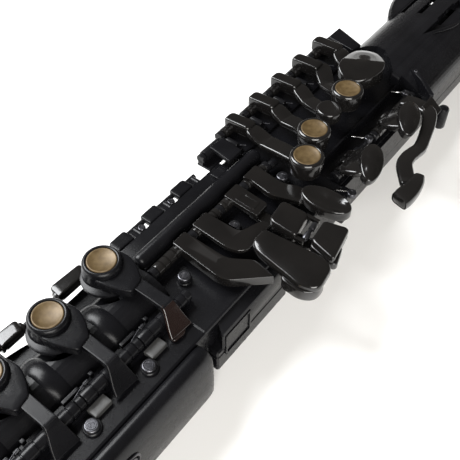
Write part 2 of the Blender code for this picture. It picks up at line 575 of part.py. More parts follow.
def table_keys():
    arm = [(-12, 25), (6, 22.8), (12, 25.6), (22, 29), (22, 36), (13.6, 36.4), (5, 33), (-12, 34.6)]
    table_key("g_sharp_key", arm, ellipse(31, 33, 13.2, 7.4, math.radians(6), 28), [], 25, 34.4)
    arm = [(-12, -14.4), (10.4, -15.4), (16.4, -12), (17, -6), (17.4, 10), (15.6, 12), (14.5, 2), (9.3, -6),
           (-12, -5.6)]
    web = plate([(-11.5, -14), (10.4, -15), (15.5, -11.8), (13.8, -2.5), (9.2, -6.4), (-11.5, -6)], 6.0, 8.2)
    touch = [(16, 20), (14.4, 17.6), (16.8, 7.6), (19, 5.4), (32.6, 5.2), (33.6, 7), (30.8, 20), (28.6, 21.2)]
    lugs = [box(30, 36.8, 6.0, 7.9, 10.2, 12.6), box(28, 35.8, 20.1, 21.8, 10.2, 12.6)]
    table_key("c_sharp_key", arm, touch, [web] + lugs, -14.2, -5.8, thick=1.6)
    link = ribbon([(4, 13, 4.0), (34, 12.4, 4.0), (41, 13.4, 6.4), (44, 14, 9.6)], 6.5, 2.2)
    arm = [(-12, 8.2), (10.2, 8.8), (8.8, 18), (-12, 19)]
    touch = [(38.4, 22.6), (37.2, 20.4), (39, 8.4), (40.6, 6.6), (53.6, 5), (55, 6.6), (49.4, 23.4), (47.4, 25)]
    step = box(0, 7, 10.6, 15.4, 3.8, 7.6)
    table_key("low_b_key", arm, touch, [step, link], 8.4, 18.8)
    arm = [(-12, -28.8), (18.2, -29.8), (36.2, -15.2), (34, -9), (26, -9), (24.4, -12.6), (15.3, -20.4), (-12, -20.2)]
    touch = [(18.8, -1.6), (18.4, -7.4), (20.4, -10.4), (50, -14.4), (56, -12.6), (57.4, -9), (56.6, -2.6), (54.6, -0.8),
             (21, 1.6)]
    skirt = plate([(17.8, -29.2), (35.6, -14.6), (32, -11.4), (14.4, -23)], 3.6, 8.8)
    lip = plate([(34, -11.6), (50, -14.0), (55.4, -12.2), (56.8, -9), (56, -4), (36, -6)], 4.2, 9.6, 0.8)
    table_key("low_b_flat_key", arm, touch, [skirt, lip], -28.6, -20.4)
    part("table_roller", STEEL, rod((35.6, 8.2, 11.4), (34.6, 19.8, 11.4), 1.1, 16), pivot=(35.1, 14, 11.4))


def palm_keys():
    x, z = PALM_ROD
    tilt = math.radians(12)
    for name, y, cx, cy in (("palm_d_key", 71.2, 35.6, 67.0), ("palm_e_flat_key", 108.8, 34.4, 108.0)):
        hub, drill = hub_of(PALM_ROD, y - 8.8, y + 8.8)
        arm = plate([(x - 3, 1.6), (x + 3, 0.6), (28, 6), (35, 9), (35, 13), (26, 11), (x - 1, 8)], y - 6, y + 6, 0.6,
                    axis="Y")
        touch = plate(ellipse(0, 0, 5.6, 11.0, math.radians(24), 26), -2.6, 2.6, 1.6)
        touch.data.transform(Matrix.Translation((cx, cy, 12.6)) @ Matrix.Rotation(tilt, 4, "Y"))
        part(name, GLOSS, arm, (hub, touch), (drill,), pivot=(x, y, z))
    y = 129.4
    hub, drill = hub_of(PALM_ROD, y - 8.2, y + 8.2)
    lever = ribbon([(21, 129, 4.8), (29, 128.8, 7.4), (38, 126, 8.8), (43.6, 119, 9.2), (46.1, 107, 9.8), (46.3, 96, 10.6),
                    (46.3, 87, 11), (47.8, 80, 11.2), (52, 74, 11.4), (57, 66, 11.2)], 6.8, 4.2)
    flap = box(34.4, 38.4, 123.6, 134.6, -2, 9.8, 1.0)
    foot = box(-4.2, 4.2, -11.4, 11.4, -3.4, 2.6, 1.4)
    foot.data.transform(Matrix.Translation((58.6, 64.4, 11.2)) @ Matrix.Rotation(math.radians(-6), 4, "Z"))
    part("palm_f_key", GLOSS, lever, (hub, foot, flap), (drill,), pivot=(x, y, z))


def side_keys():
    x, z = SIDE_ROD
    for name, y, low, high in (("side_b_flat_key", -88, -110, -96), ("side_c_key", -72, -78, -58)):
        hub, drill = hub_of(SIDE_ROD, low, high)
        paddle = box(x - 7.6, x + 1.6, low + 0.4, high - 0.4, z + 1.2, z + 4.8, 1.2)
        part(name, GLOSS, paddle, (hub,), (drill,), pivot=(x, y, z))
    line = (-38.2, 4.9)
    hub, drill = hub_of(line, 27.2, 41)
    blade = box(-38, -22.0, 31.8, 40.6, 6.6, 9.2, 0.6)
    part("side_e_key", GLOSS, blade, (hub,), (drill,), pivot=(line[0], 34, line[1]))


def pinky_keys():
    x, z = RH_ROD
    for name, y in (("e_flat_key", -156), ("low_c_key", -180.6)):
        hub, drill = hub_of(RH_ROD, y - 6, y + 6)
        arm = plate([(-24, 8.8), (x + 2.6, 8.8), (x + 2.6, 11.6), (-24, 11.6)], y - 4, y + 4, 0.4, axis="Y")
        neck = box(x - 1.5, x + 1.5, y - 3, y + 3, z + 2.0, 10.3)
        touch = box(-40, -21, y - 9.8, y + 9.8, 8.0, 13.4, 1.6)
        part(name, GLOSS, touch, (arm, hub, neck), (drill,), pivot=(x, y, z))


shell_back()
shell_front()
case_trim()
bell_and_neck()
mouth_fittings()
back_pieces()
control_pieces()
hinges()
for letter, (px, py) in RH_PEARLS.items():
    right_key(letter, px, py)
left_stack()
table_keys()
palm_keys()
side_keys()
pinky_keys()
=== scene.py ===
"""Electronic saxophone on a pale table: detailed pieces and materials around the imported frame.

Shapes are drawn in the millimetres of the part's own drawing frame (X across, Y towards the neck,
Z up, Z = 0 on the deck) and PLACE carries them into the frame's metres.
"""

import math

import bmesh
import bpy
from mathutils import Matrix, Vector


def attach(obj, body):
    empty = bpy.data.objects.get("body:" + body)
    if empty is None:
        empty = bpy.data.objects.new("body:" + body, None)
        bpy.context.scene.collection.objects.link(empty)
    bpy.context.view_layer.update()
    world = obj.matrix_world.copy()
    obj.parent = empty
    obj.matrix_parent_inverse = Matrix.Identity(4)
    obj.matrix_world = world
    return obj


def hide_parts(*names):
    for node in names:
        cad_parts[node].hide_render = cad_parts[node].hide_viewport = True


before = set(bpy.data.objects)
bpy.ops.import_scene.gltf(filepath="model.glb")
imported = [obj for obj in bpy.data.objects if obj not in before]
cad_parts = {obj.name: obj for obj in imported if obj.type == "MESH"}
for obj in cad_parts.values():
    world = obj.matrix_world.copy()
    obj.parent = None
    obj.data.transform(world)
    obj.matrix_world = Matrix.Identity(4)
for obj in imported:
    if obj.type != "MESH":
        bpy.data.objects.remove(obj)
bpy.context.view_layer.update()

SHIFT = Vector((-9.111, -39.407, 40.0))
PLACE = Matrix.Scale(0.001, 4) @ Matrix.Translation(SHIFT)

# The camera's axes, its distance in millimetres from the middle of the view, and its lens.
CAMERA_RIGHT = Vector((0.79029, 0.61273, 0.0))
CAMERA_UP = Vector((-0.46938, 0.60540, 0.64279))
CAMERA_BACK = Vector((0.39386, -0.50799, 0.76604))
CAMERA_DISTANCE = 330.0
LENS, SENSOR = 54.18, 36.0

# Hinge rods: (X, Z) of each line along Y.
RH_ROD, LH_ROD, TABLE_ROD = (10.0, 4.6), (-41.0, 4.9), (-9.0, 4.7)
PALM_ROD, SIDE_ROD, BLADE_ROD = (21.0, 1.0), (-37.0, -1.0), (-38.2, 4.9)

# Touch discs: (X, Y) of each centre.
RH_PEARLS = {"f": (-24.6, -58.3), "e": (-22.2, -91.6), "d": (-21.6, -124.0)}
LH_PEARLS = {"b": (0.0, 101.7), "a": (3.3, 64.5), "g": (11.1, 46.3)}
RH_DISC_Z, LH_DISC_Z = 16.6, 20.4

# Palm touches: how far each teardrop is turned in plan, and tipped outwards.
PALM_TURN, PALM_TILT = math.radians(24), math.radians(14)

# Tubes on the right hand rod: Y of both ends.
RH_TUBES = {"f": (-73.4, -46.2), "e": (-106.0, -77.0), "d": (-141.6, -109.6)}

# Hinge posts: Y of each one, and Y of the five left hand bars.
RH_POSTS = (-44.5, -75.2, -107.8, -143.5, -167, -194.5)
LH_POSTS = [44.4 + 21.33 * k for k in range(6)]
TABLE_POSTS = (-44, -16.9, 3.2, 22.2, 40.6)
PALM_POSTS = (60.5, 82, 98, 119.4, 139.5)
BAR_Y = [138.6 - 21.4 * k for k in range(5)]


# ---------------------------------------------------------------- stage

def camera():
    """Looks down the instrument from its lower right."""
    data = bpy.data.cameras.new("camera")
    data.sensor_width = SENSOR
    data.lens = LENS
    data.clip_start = 0.01
    obj = bpy.data.objects.new("camera", data)
    spot = (SHIFT + CAMERA_BACK * CAMERA_DISTANCE) * 0.001
    turn = Matrix((CAMERA_RIGHT, CAMERA_UP, CAMERA_BACK)).transposed().to_4x4()
    obj.matrix_world = Matrix.Translation(spot) @ turn
    bpy.context.scene.collection.objects.link(obj)
    bpy.context.scene.camera = obj


def lights():
    """A dim warm room, a broad key light from the left and a broad fill from the camera's side."""
    world = bpy.data.worlds.new("studio")
    world.use_nodes = True
    world.node_tree.nodes["Background"].inputs["Color"].default_value = (1.0, 0.93, 0.84, 1)
    world.node_tree.nodes["Background"].inputs["Strength"].default_value = 0.12
    bpy.context.scene.world = world
    rigs = (("key", (-1.15, -0.30, 1.25), 1.1, 75, (0.97, 0.985, 1.0)),
            ("fill", (1.2, -1.2, 1.1), 1.3, 62, (1.0, 0.98, 0.95)))
    for name, spot, size, power, tint in rigs:
        data = bpy.data.lights.new(name, "AREA")
        data.size = size
        data.energy = power
        data.color = tint
        obj = bpy.data.objects.new(name, data)
        obj.location = spot
        obj.rotation_euler = (-Vector(spot)).to_track_quat("-Z", "Y").to_euler()
        bpy.context.scene.collection.objects.link(obj)


def floor():
    """A plain pale table top just under the object."""
    bm = bmesh.new()
    bmesh.ops.create_grid(bm, x_segments=4, y_segments=4, size=3.0)
    mesh = bpy.data.meshes.new("floor")
    bm.to_mesh(mesh)
    bm.free()
    obj = bpy.data.objects.new("floor", mesh)
    obj.location = (0, 0, -0.0002)
    bpy.context.scene.collection.objects.link(obj)
    mat = bpy.data.materials.new("floor")
    mat.use_nodes = True
    shader = mat.node_tree.nodes["Principled BSDF"]
    shader.inputs["Base Color"].default_value = (0.93, 0.925, 0.91, 1)
    shader.inputs["Roughness"].default_value = 0.7
    mesh.materials.append(mat)


# ---------------------------------------------------------------- materials

def noise(tree, spot, scale, detail):
    """A noise value read in the object's own space."""
    node = tree.nodes.new("ShaderNodeTexNoise")
    node.inputs["Scale"].default_value = scale
    node.inputs["Detail"].default_value = detail
    tree.links.new(spot.outputs["Object"], node.inputs["Vector"])
    return node.outputs["Fac"]


def drifting_colour(tree, value, dark, light):
    """A colour between dark and light, chosen by a value."""
    ramp = tree.nodes.new("ShaderNodeValToRGB")
    low, high = ramp.color_ramp.elements
    low.position, low.color = 0.3, (*dark, 1)
    high.position, high.color = 0.7, (*light, 1)
    tree.links.new(value, ramp.inputs["Fac"])
    return ramp.outputs["Color"]


def painted_edge_highlight(tree, colour, light, edge_highlight_share):
    """Mixes a paler colour into convex edges, a painted highlight along them, up to the share given
    by its last argument.
    """
    edge = tree.nodes.new("ShaderNodeNewGeometry")
    edge_highlight_range = tree.nodes.new("ShaderNodeMapRange")
    edge_highlight_range.inputs["From Min"].default_value = 0.52
    edge_highlight_range.inputs["From Max"].default_value = 0.62
    edge_highlight_range.inputs["To Max"].default_value = edge_highlight_share
    tree.links.new(edge.outputs["Pointiness"], edge_highlight_range.inputs["Value"])
    # painted highlight: a paler colour mixed into sharp convex edges, standing for light catching
    # them
    mix = tree.nodes.new("ShaderNodeMix")
    mix.data_type = "RGBA"
    mix.inputs["B"].default_value = (*[min(1.0, c * 3 + 0.05) for c in light], 1)
    tree.links.new(edge_highlight_range.outputs["Result"], mix.inputs["Factor"])
    tree.links.new(colour, mix.inputs["A"])
    return mix.outputs["Result"]


def finish(name, dark, light, rough, metal=0.0, grain=900.0, bump=0.05, cloud=60.0, edge_highlight_share=0.12,
           coat=0.0, spec=0.5):
    """A procedural finish.

    Colour (dark to light) and roughness (a range) drift with noise of scale cloud, fine grain of
    scale grain is in the bump, and convex edges get a painted highlight, paler by a given share.
    """
    mat = bpy.data.materials.new(name)
    mat.use_nodes = True
    tree = mat.node_tree
    shader = tree.nodes["Principled BSDF"]
    shader.inputs["Metallic"].default_value = metal
    shader.inputs["Specular IOR Level"].default_value = spec
    shader.inputs["Coat Weight"].default_value = coat
    shader.inputs["Coat Roughness"].default_value = 0.08
    spot = tree.nodes.new("ShaderNodeTexCoord")
    colour = drifting_colour(tree, noise(tree, spot, cloud, 3), dark, light)
    tree.links.new(painted_edge_highlight(tree, colour, light, edge_highlight_share), shader.inputs["Base Color"])
    spread = tree.nodes.new("ShaderNodeMapRange")
    spread.inputs["To Min"].default_value = rough[0]
    spread.inputs["To Max"].default_value = rough[1]
    tree.links.new(noise(tree, spot, cloud * 3, 4), spread.inputs["Value"])
    tree.links.new(spread.outputs["Result"], shader.inputs["Roughness"])
    relief = tree.nodes.new("ShaderNodeBump")
    relief.inputs["Strength"].default_value = bump
    relief.inputs["Distance"].default_value = 0.0004
    tree.links.new(noise(tree, spot, grain, 2), relief.inputs["Height"])
    tree.links.new(relief.outputs["Normal"], shader.inputs["Normal"])
    return mat


# each finish's edge share sets how much painted highlight its convex edges get
LOOKS = {
    "satin": finish("satin", (0.0026, 0.0026, 0.0032), (0.0046, 0.0046, 0.0055), (0.23, 0.31),
                    grain=4200, bump=0.05, edge_highlight_share=0.06, spec=0.17),
    "gloss": finish("gloss", (0.0040, 0.0037, 0.0036), (0.0062, 0.0056, 0.0053), (0.10, 0.18),
                    grain=500, bump=0.02, coat=0.1, spec=0.42),
    "pearl": finish("pearl", (0.060, 0.038, 0.015), (0.098, 0.066, 0.029), (0.38, 0.50),
                    metal=0.25, grain=1500, cloud=380, edge_highlight_share=0.06, spec=0.35),
    "steel": finish("steel", (0.030, 0.030, 0.034), (0.060, 0.060, 0.066), (0.22, 0.38),
                    metal=0.9, grain=3000, bump=0.08, cloud=200, edge_highlight_share=0.3),
    "chrome": finish("chrome", (0.55, 0.55, 0.56), (0.70, 0.70, 0.71), (0.10, 0.22),
                     metal=1.0, grain=2000, bump=0.04, cloud=200, edge_highlight_share=0.1),
    "brass": finish("brass", (0.62, 0.40, 0.13), (0.74, 0.51, 0.20), (0.16, 0.28),
                    metal=1.0, grain=2500, bump=0.04, cloud=25, edge_highlight_share=0.1, coat=0.5),
    "cork": finish("cork", (0.30, 0.17, 0.08), (0.55, 0.36, 0.20), (0.75, 0.92),
                   grain=1400, bump=0.6, cloud=700, edge_highlight_share=0.05),
    "ebonite": finish("ebonite", (0.006, 0.006, 0.006), (0.010, 0.010, 0.010), (0.12, 0.24),
                      grain=2500, bump=0.02, cloud=50, edge_highlight_share=0.1, coat=0.3),
    "reed": finish("reed", (0.50, 0.37, 0.18), (0.68, 0.55, 0.33), (0.45, 0.60),
                   grain=2000, bump=0.2, cloud=240, edge_highlight_share=0.05),
    "board": finish("board", (0.010, 0.09, 0.03), (0.02, 0.16, 0.06), (0.35, 0.5),
                    grain=1800, bump=0.1, cloud=300, edge_highlight_share=0.1),
    "rubber": finish("rubber", (0.018, 0.018, 0.019), (0.028, 0.028, 0.030), (0.65, 0.85),
                     grain=3500, bump=0.25, cloud=120, edge_highlight_share=0.1),
    "grey": finish("grey", (0.030, 0.030, 0.030), (0.045, 0.045, 0.044), (0.35, 0.5),
                   grain=3000, bump=0.1, cloud=150, edge_highlight_share=0.2),
    # a dark brown copy of the black plastic: a painted warm reflection, used on the F fin
    "painted_reflection_brown": finish("painted_reflection_brown", (0.0060, 0.0030, 0.0026), (0.0100, 0.0044, 0.0034), (0.15, 0.25),
                    grain=800, bump=0.02, edge_highlight_share=0.1, coat=0.4),
}


# ---------------------------------------------------------------- shapes

# How a bar's end closes: (distance in from the end, share of the corner taken off), in corners.
END_STEPS = ((0.0, 1.0), (0.3, 0.3), (1.0, 0.0))


class Shells:
    """Closed shells gathered into one mesh, in drawing millimetres."""

    def __init__(self):
        self.bm = bmesh.new()

    def loft(self, rings, turn=None):
        """Joins rings of equal length with quads and caps both ends."""
        rows = []
        for ring in rings:
            rows.append([self.bm.verts.new(turn @ Vector(p) if turn else Vector(p)) for p in ring])
        count = len(rows[0])
        for low, high in zip(rows, rows[1:]):
            for k in range(count):
                n = (k + 1) % count
                self.bm.faces.new((low[k], low[n], high[n], high[k]))
        self.bm.faces.new(rows[0][::-1])
        self.bm.faces.new(rows[-1])

    def lathe(self, profile, centre, way=(0, 0, 1), steps=40):
        """Turns (radius, distance along way) round the line through centre."""
        turn = Vector(way).to_track_quat("Z", "Y").to_matrix().to_4x4()
        place = Matrix.Translation(centre) @ turn
        rings = []
        for radius, height in profile:
            rings.append([place @ Vector((x, y, height)) for x, y in circle(radius, steps)])
        self.loft(rings)

    def pad(self, outline, levels, rise=None, turn=None):
        """A plate with a shaped rim: each level is (inset, z), and rise lifts the upper half."""
        middle = sum((Vector((p[0], p[1])) for p in outline), Vector((0, 0))) / len(outline)
        half = (levels[0][1] + levels[-1][1]) / 2
        rings = []
        for inset, z in levels:
            ring = []
            for p in outline:
                away = Vector((p[0], p[1])) - middle
                keep = max(away.length - inset, away.length * 0.04)
                flat = middle + away * (keep / away.length)
                lift = rise(flat.x, flat.y) if rise and z > half else 0.0
                ring.append((flat.x, flat.y, z + lift))
            rings.append(ring)
        self.loft(rings, turn)

    def slab(self, outline, low, high, edge=0.5, rise=None, turn=None, crown=0.0):
        """A plate with straight walls, rounded edges and a crowned (or, below 0, dished) top."""
        e = edge
        levels = [(e, low), (e * 0.3, low + e * 0.3), (0, low + e), (0, high - e),
                  (e * 0.1, high - e * 0.6), (e * 0.3, high - e * 0.28), (e * 0.6, high - e * 0.08),
                  (e, high)]
        facing = zip(outline, outline[len(outline) // 2:])
        reach = min(math.hypot(p[0] - q[0], p[1] - q[1]) for p, q in facing)
        for part in (0.16, 0.3, 0.42):
            levels.append((e + reach * part, high + crown * (1 - (1 - part / 0.5) ** 2)))
        self.pad(outline, levels, rise, turn)

    def strap(self, points, widths, thick, level=(0, 0, 1), corner=0.9, smooth=5):
        """A bar with a rounded section swept along points, its width square to level."""
        path = spline(points, smooth)
        spans = spline([(w, 0, 0) for w in stretched(widths, len(points))], smooth)
        deeps = spline([(t, 0, 0) for t in stretched(thick, len(points))], smooth)
        rings = []
        last = len(path) - 1
        for k, here in enumerate(path):
            ahead = (path[min(k + 1, last)] - path[max(k - 1, 0)]).normalized()
            side = Vector(level).cross(ahead).normalized()
            top = ahead.cross(side)
            steps = ((0.0, 0.0),)
            if k == 0:
                steps = END_STEPS
            elif k == last:
                steps = [(-off, cut) for off, cut in reversed(END_STEPS)]
            for off, cut in steps:
                less = 1.8 * cut * corner
                rings.append(section(here + ahead * (off * corner), side, top, spans[k][0] - less,
                                     deeps[k][0] - less, corner * (1 - 0.75 * cut)))
        self.loft(rings)

    def pipe(self, points, radius, steps=12, smooth=3):
        """A round wire through points."""
        path = spline(points, smooth)
        rings = []
        last = len(path) - 1
        side = None
        for k, here in enumerate(path):
            ahead = (path[min(k + 1, last)] - path[max(k - 1, 0)]).normalized()
            side = ahead.orthogonal() if side is None else side - ahead * side.dot(ahead)
            side.normalize()
            top = ahead.cross(side)
            rings.append([here + side * x + top * y for x, y in circle(radius, steps)])
        self.loft(rings)

    def block(self, x0, x1, y0, y1, z0, z1, edge=0.5):
        """A box with rounded edges."""
        outline = rounded_rect(x0, x1, y0, y1, max(edge, 0.3))
        self.slab(outline, z0, z1, min(edge, (z1 - z0) * 0.45))


def circle(radius, steps):
    """Points round the origin."""
    turns = (2 * math.pi * k / steps for k in range(steps))
    return [(radius * math.cos(a), radius * math.sin(a)) for a in turns]


def stretched(values, count):
    """One number repeated, or the given numbers as a list."""
    if isinstance(values, (int, float)):
        return [values] * count
    return list(values)


def spline(points, cuts):
    """Catmull-Rom points through the given ones."""
    spots = [Vector(p) for p in points]
    if cuts <= 1 or len(spots) < 3:
        return spots
    out = []
    for k in range(len(spots) - 1):
        a, b, c, d = spots[max(k - 1, 0)], spots[k], spots[k + 1], spots[min(k + 2, len(spots) - 1)]
        for j in range(cuts):
            t = j / cuts
            out.append(0.5 * ((2 * b) + (c - a) * t + (2 * a - 5 * b + 4 * c - d) * t * t
                              + (3 * b - a - 3 * c + d) * t ** 3))
    out.append(spots[-1])
    return out


def section(spot, side, top, width, depth, corner):
    """A rounded rectangle across a bar."""
    r = min(corner, width * 0.45, depth * 0.45)
    ring = []
    for cx, cy, start in ((1, 1, 0), (-1, 1, 90), (-1, -1, 180), (1, -1, 270)):
        for a in (0, 30, 60, 90):
            way = math.radians(start + a)
            ring.append(spot + side * (cx * (width / 2 - r) + r * math.cos(way))
                        + top * (cy * (depth / 2 - r) + r * math.sin(way)))
    return ring


def rounded(corners, radius, steps=5):
    """An outline with its corners rounded. Radius is one number, or one for each corner."""
    radii = stretched(radius, len(corners))
    spots = [Vector(c) for c in corners]
    out = []
    for k, here in enumerate(spots):
        before, after = spots[k - 1] - here, spots[(k + 1) % len(spots)] - here
        reach = min(radii[k], before.length * 0.48, after.length * 0.48)
        a, b = here + before.normalized() * reach, here + after.normalized() * reach
        for j in range(steps + 1):
            t = j / steps
            out.append(tuple((1 - t) ** 2 * a + 2 * t * (1 - t) * here + t * t * b))
    return out


def rounded_rect(x0, x1, y0, y1, radius):
    """A rectangle's outline with rounded corners."""
    return rounded([(x0, y0), (x1, y0), (x1, y1), (x0, y1)], radius, 4)


def ellipse(cx, cy, rx, ry, turn=0.0, count=48, power=1.0):
    """An ellipse's outline, turned in degrees; a power under 1 makes it squarer."""
    out = []
    c, s = math.cos(math.radians(turn)), math.sin(math.radians(turn))
    for k in range(count):
        a = 2 * math.pi * k / count
        x = rx * math.copysign(abs(math.cos(a)) ** power, math.cos(a))
        y = ry * math.copysign(abs(math.sin(a)) ** power, math.sin(a))
        out.append((cx + x * c - y * s, cy + x * s + y * c))
    return out


def emit(name, shells, look, body="root", stands_for=(), sharp=38):
    """Turns shells into a piece that rides on a body and may stand for CAD nodes."""
    bm = shells.bm
    bmesh.ops.recalc_face_normals(bm, faces=bm.faces)
    bm.transform(PLACE)
    mesh = bpy.data.meshes.new(name)
    bm.to_mesh(mesh)
    bm.free()
    mesh.materials.append(LOOKS[look])
    mesh.polygons.foreach_set("use_smooth", [True] * len(mesh.polygons))
    mesh.set_sharp_from_angle(angle=math.radians(sharp))
    obj = bpy.data.objects.new(name, mesh)
    bpy.context.scene.collection.objects.link(obj)
    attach(obj, body)
    if stands_for:
        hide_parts(*stands_for)
    return obj


# ---------------------------------------------------------------- small parts

def hinge_tube(shells, line, low, high, radius=3.0, grooves=()):
    """A tube round a hinge rod, with rounded ends and turned grooves."""
    x, z = line
    profile = [(1.7, low), (radius - 0.4, low), (radius - 0.1, low + 0.15), (radius, low + 0.5)]
    for y in grooves:
        profile += [(radius, y - 0.45), (radius - 0.35, y - 0.25), (radius - 0.35, y + 0.25),
                    (radius, y + 0.45)]
    profile += [(radius, high - 0.5), (radius - 0.1, high - 0.15), (radius - 0.4, high),
                (1.7, high)]
    shells.lathe(profile, (x, 0, z), (0, 1, 0), 32)


def knuckles(shells, line, spots, base):
    """Posts of a hinge: a round eye with a foot."""
    x, z = line
    for y in spots:
        shells.lathe([(1.2, -1.5), (2.5, -1.5), (2.8, -1.2), (2.8, 1.2), (2.5, 1.5), (1.2, 1.5)],
                     (x, y, z), (0, 1, 0), 28)
        shells.block(x - 2.2, x + 2.2, y - 1.1, y + 1.1, base, z, 0.3)


def screw(name, x, y, z, radius):
    """A pan head screw with a stepped rim and a socket."""
    r = radius
    shells = Shells()
    shells.lathe([(r * 0.7, -1.6), (r, -1.2), (r, 0.55), (r * 0.95, 0.8), (r * 0.8, 0.98),
                  (r * 0.74, 0.98), (r * 0.72, 0.8), (r * 0.60, 0.8), (r * 0.57, 1.02),
                  (r * 0.42, 1.02), (r * 0.38, 0.9)], (x, y, z), (0, 0, 1), 32)
    shells.lathe([(r * 0.34, -0.2), (r * 0.33, 0.55), (r * 0.14, 0.72), (0.05, 0.75)], (x, y, z),
                 (0, 0, 1), 6)
    emit(name, shells, "steel")


def spring(name, points, look="steel", radius=0.35):
    """A thin needle spring fixed to the case."""
    shells = Shells()
    shells.pipe(points, radius, 8, 4)
    emit(name, shells, look)


def pearl(name, x, y, z, body):
    """A dished touch disc."""
    shells = Shells()
    shells.lathe([(6.3, -1.4), (6.72, -1.2), (6.75, 0.0), (6.6, 0.42), (6.3, 0.55), (5.9, 0.42),
                  (5.2, 0.1), (4.2, -0.2), (3.0, -0.42), (1.6, -0.55), (0.6, -0.6)], (x, y, z),
                 (0, 0, 1), 48)
    emit(name + "_disc", shells, "pearl", body, (name,), 60)


def cup_ring(shells, x, y, z, depth, outer, flare):
    """The black rim that holds a disc, with its lip rolled over."""
    shells.lathe([(5.5, -depth), (outer + flare, -depth), (outer + flare * 0.8, -depth + 1.0),
                  (outer, -1.6), (outer - 0.12, -0.5), (outer - 0.5, 0.25), (outer - 1.1, 0.72),
                  (outer - 1.6, 0.78), (outer - 2.0, 0.55), (7.0, 0.0), (6.95, -1.6), (5.5, -1.6)],
                 (x, y, z), (0, 0, 1), 48)


# ---------------------------------------------------------------- right hand

def right_key(letter, x, y):
    """Skirt, ring, thick wedge, flat arm and folded fin of one right hand key."""
    body = f"{letter}_key"
    shells = Shells()
    shells.lathe([(6, 5.6), (6.6, 5.6), (6.8, 6.8), (11.0, 6.9), (11.5, 7.3), (11.6, 8.0),
                  (11.4, 8.7), (10.8, 9.0), (6, 9.5)], (x + 2, y - 0.7, 0), (0, 0, 1), 56)
    cup_ring(shells, x, y, RH_DISC_Z - 0.2, 8.0, 9.0, 1.0)
    wedge = [(x - 6, y + 7.4), (x + 1, y + 10.2), (x + 7, y + 10.8), (x + 13, y + 8.4),
             (x + 18.4, y + 4.6), (x + 19.6, y - 2.6), (x + 15.4, y - 5.0), (x + 8, y - 8.2),
             (x - 4, y - 8.6), (x - 8.6, y)]
    outline = rounded(wedge, [4, 6, 6, 6, 1.2, 1.2, 4, 6, 6, 6], 5)
    shells.slab(outline, 8.6, 14.4, 0.7, lambda px, py: -0.075 * max(0.0, px - x - 6))
    low, high = y - 0.6, y + 5.6
    arm = [(x + 14, low + 0.2), (9.0, low), (10.8, low - 0.1), (10.8, high + 0.1), (9.0, high),
           (x + 14, high)]
    shells.slab(rounded(arm, 0.5, 2), 9.4, 12.6, 0.45)
    fin = [(9.2, y + 2.5, 11.7), (10.8, y + 2.4, 11.2), (13.0, y + 2.0, 8.2), (16.2, y + 1.2, 4.0),
           (18.6, y + 0.8, 1.0)]
    blade = Shells() if letter == "f" else shells
    blade.strap(fin, [6.4, 6.6, 8.2, 10.8, 12.4], 1.7, (1, 0, 0.6), 0.5, 4)
    if letter == "f":
        blade.slab(rounded([(15.6, y - 4.4), (19.6, y - 5.4), (20.6, y + 0.8), (18.2, y + 4.2)],
                           1.6), 0.2, 1.6, 0.5)
        # the F fin takes the brown copy of the black plastic as a painted warm reflection
        emit("f_fin", blade, "painted_reflection_brown", body)
    web = rounded([(9.0, low + 1.4), (11.6, low + 1.4), (11.6, high - 1.4), (9.0, high - 1.4)], 0.5,
                  2)
    shells.slab(web, 5.0, 11.0, 0.4)
    start, end = RH_TUBES[letter]
    hinge_tube(shells, RH_ROD, start, end, 3.05, (start + 5.4, start + 11.5, end - 4))
    emit(f"{letter}_lever", shells, "satin", body, (body,))
    pearl(f"{letter}_pearl", x, y, RH_DISC_Z, body)


def right_fittings():
    """Hinge posts, blocks, rails, pins and screws beside the right hand rod."""
    posts = Shells()
    x, z = RH_ROD
    posts.lathe([(1.35, -196), (1.35, -43)], (x, 0, z), (0, 1, 0), 20)
    knuckles(posts, RH_ROD, RH_POSTS, 0.3)
    posts.block(6.6, 13.4, -196, -43, 0.1, 1.2, 0.3)
    emit("right_hinge_posts", posts, "satin", "root", ("right_hand_hinge",))
    for k, y in enumerate(RH_POSTS[1:4]):
        detail = Shells()
        detail.block(12.7, 18.0, y + 0.2, y + 9.2, -0.6, 2.3, 0.35)
        emit(f"post_block_{k}", detail, "grey")
        rails = Shells()
        rails.block(12.5, 13.2, y - 7.4, y + 10.6, 0.6, 2.6, 0.2)
        rails.block(3.6, 5.4, y - 4.4, y + 4.6, 1.6, 4.2, 0.5)
        rails.block(4.4, 6.6, y + 6.4, y + 9.4, 1.2, 4.6, 0.5)
        rails.block(2.6, 4.6, y + 11.0, y + 13.0, 1.2, 4.0, 0.4)
        emit(f"post_rail_{k}", rails, "satin")
        spring(f"needle_{k}", [(5.0, y + 9.0, 4.4), (6.0, y + 4.0, 4.6), (7.4, y - 1.0, 4.8)],
               radius=0.28)
        screw(f"post_screw_{k}", 18.9, y - 3.0, 1.3, 3.2)
        boss = Shells()
        boss.lathe([(3.2, -1.4), (4.0, -1.0), (4.0, 0.7), (3.6, 1.1), (3.0, 1.1)],
                   (18.9, y - 3.0, 0), (0, 0, 1), 32)
        emit(f"post_boss_{k}", boss, "satin")


# ---------------------------------------------------------------- left hand

def left_bar(shells, k):
    """The straight part of a left hand lever, with a rounded tip and its hub."""
    y = BAR_Y[k]
    tip = -44.7 + 0.45 * k
    outline = rounded([(tip, y - 3.4), (-28.2, y - 2.6), (-27.2, y - 1.6), (-27.2, y + 4.2),
                       (-28.2, y + 5.2), (tip, y + 3.6)], [2.0, 0.6, 0.8, 0.8, 0.6, 2.6], 5)
    shells.slab(outline, 6.2, 13.3, 1.5, crown=0.25)
    hinge_tube(shells, LH_ROD, y - 6.5, y + 5.0, 2.9, (y - 4.2,))


